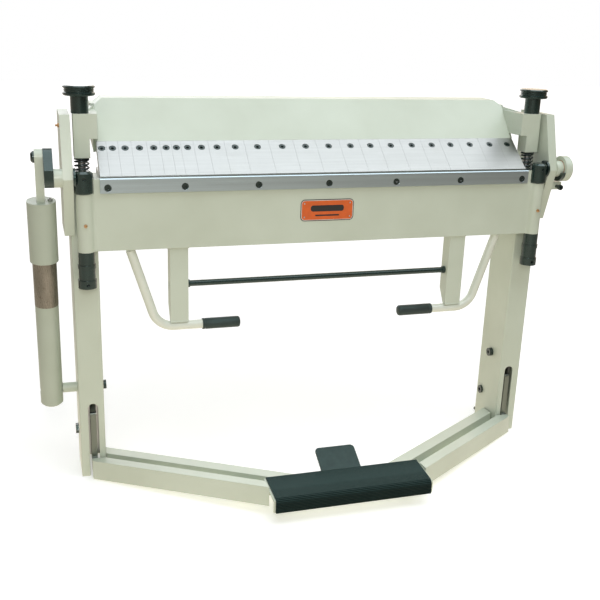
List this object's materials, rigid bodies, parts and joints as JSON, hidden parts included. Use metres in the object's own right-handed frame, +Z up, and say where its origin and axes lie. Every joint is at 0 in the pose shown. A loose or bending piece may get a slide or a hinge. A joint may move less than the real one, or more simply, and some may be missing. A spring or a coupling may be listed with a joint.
{
  "type": "sheet metal brake",
  "caption": "Foot-operated box-and-pan brake: a pedal clamps sheet under a row of fingers and a hinged apron with two handles folds it; counterbalanced, free-standing.",
  "frame": {"origin": "middle of the bend line, where the finger noses meet the bed face", "axes": "+X along the bend line, to the operator's right when facing the machine; +Y to the back; +Z up"},
  "size_m": [1.5415, 0.605, 1.085],
  "materials": {
    "paint": "semi-gloss pale grey-green enamel",
    "black_oxide": "blackened steel, satin",
    "black_screw": "black oxide cap screws",
    "bright_steel": "ground steel",
    "edge_steel": "milled steel bar",
    "bare_tube": "oiled bare steel tube",
    "inner_steel": "machined steel",
    "brass": "turned",
    "rubber": "black rubber",
    "badge": "printed plate",
    "spring_steel": "black spring steel"
  },
  "bodies": {
    "frame": {"post_left": "paint", "post_right": "paint", "anchor_brackets": "black_oxide", "bed_beam": "paint", "bed_end_plates": "paint", "bed_jaw": "bright_steel", "side_plate_left": "paint", "side_plate_right": "paint", "hinge_bushes": "paint", "cross_bolts": "black_screw", "balance_anchor": "paint", "clamp_springs": "spring_steel", "oil_nipples": "brass", "angle_stop_lug": "paint", "angle_stop_screw": "black_screw"},
    "leaf": {"hinge_block_left": "black_oxide", "hinge_block_right": "black_oxide", "hinge_pins": "inner_steel", "height_screws": "inner_steel", "balance_crank": "black_oxide", "hub_disc": "paint", "stop_cam": "black_oxide"},
    "apron": {"apron_panel": "paint", "apron_ends": "paint", "apron_collars": "black_oxide", "apron_edge_bar": "edge_steel", "edge_bar_screws": "black_screw", "struts": "paint", "truss_rod": "black_oxide", "truss_collars": "black_oxide", "handles": "paint", "handle_grips": "rubber", "grease_nipples": "brass", "badge": "badge"},
    "height_nut_left": {"height_nut_left": "black_oxide"},
    "height_nut_right": {"height_nut_right": "black_oxide"},
    "clamp": {"clamp_beam": "paint", "beam_end_left": "paint", "beam_end_right": "paint", "fingers_narrow": "bright_steel", "fingers_medium": "bright_steel", "fingers_wide": "bright_steel", "finger_screws": "black_screw", "pull_rods": "inner_steel", "clamp_sleeves": "black_oxide"},
    "knob_left": {"knob_left": "black_oxide"},
    "knob_right": {"knob_right": "black_oxide"},
    "pedal": {"pedal_arm_left": "paint", "pedal_arm_right": "paint", "pedal_crossbar": "paint", "pedal_tread": "rubber", "toe_plate": "black_oxide", "pedal_levers": "inner_steel", "lever_pins": "inner_steel"},
    "balance_tube": {"balance_tube": "paint", "balance_ram": "bare_tube", "balance_spring": "spring_steel"},
    "balance_sleeve": {"balance_sleeve": "paint", "balance_link": "paint", "link_bolt": "black_screw"}
  },
  "joints": [
    {"name": "leaf_swing", "type": "hinge", "parent": "frame", "child": "leaf", "pos_m": [0, 0, 0], "axis": [-1, 0, 0], "range_deg": [0, 135]},
    {"name": "apron_height", "type": "slide", "parent": "leaf", "child": "apron", "axis": [0, 0, -1], "range_m": [0, 0.008]},
    {"name": "height_nut_left_turn", "type": "hinge", "parent": "apron", "child": "height_nut_left", "pos_m": [-0.652, -0.001, -0.256], "axis": [0, 0, 1], "range_deg": [0, 720]},
    {"name": "height_nut_right_turn", "type": "hinge", "parent": "apron", "child": "height_nut_right", "pos_m": [0.652, -0.001, -0.256], "axis": [0, 0, 1], "range_deg": [0, 720]},
    {"name": "clamp_lift", "type": "slide", "parent": "frame", "child": "clamp", "axis": [0, 0, 1], "range_m": [0, 0.047], "deforming": ["clamp_springs"]},
    {"name": "knob_left_turn", "type": "hinge", "parent": "clamp", "child": "knob_left", "pos_m": [-0.65, 0.067, 0.198], "axis": [0, 0, 1], "range_deg": [-360, 360]},
    {"name": "knob_right_turn", "type": "hinge", "parent": "clamp", "child": "knob_right", "pos_m": [0.65, 0.067, 0.198], "axis": [0, 0, 1], "range_deg": [-360, 360]},
    {"name": "pedal_swing", "type": "hinge", "parent": "frame", "child": "pedal", "pos_m": [0, 0.14, -0.759], "axis": [-1, 0, 0], "range_deg": [0, 35.8]},
    {"name": "balance_swing", "type": "hinge", "parent": "frame", "child": "balance_tube", "pos_m": [-0.757, 0.098, -0.61], "axis": [1, 0, 0], "range_deg": [0, 1.3]},
    {"name": "balance_slide", "type": "slide", "parent": "balance_tube", "child": "balance_sleeve", "axis": [0, -0.1157, 0.9933], "range_m": [-0.1015, 0], "deforming": ["balance_spring"]}
  ],
  "couplings": [
    {"joint": "pedal_swing", "follows": "clamp_lift", "rad_per_m": 13.26},
    {"joint": "balance_swing", "follows": "leaf_swing", "ratio": 0.0088393},
    {"joint": "balance_slide", "follows": "leaf_swing", "m_per_rad": -0.04279},
    {"joint": "height_nut_left_turn", "follows": "apron_height", "rad_per_m": 1570.8},
    {"joint": "height_nut_right_turn", "follows": "apron_height", "rad_per_m": 1570.8}
  ]
}
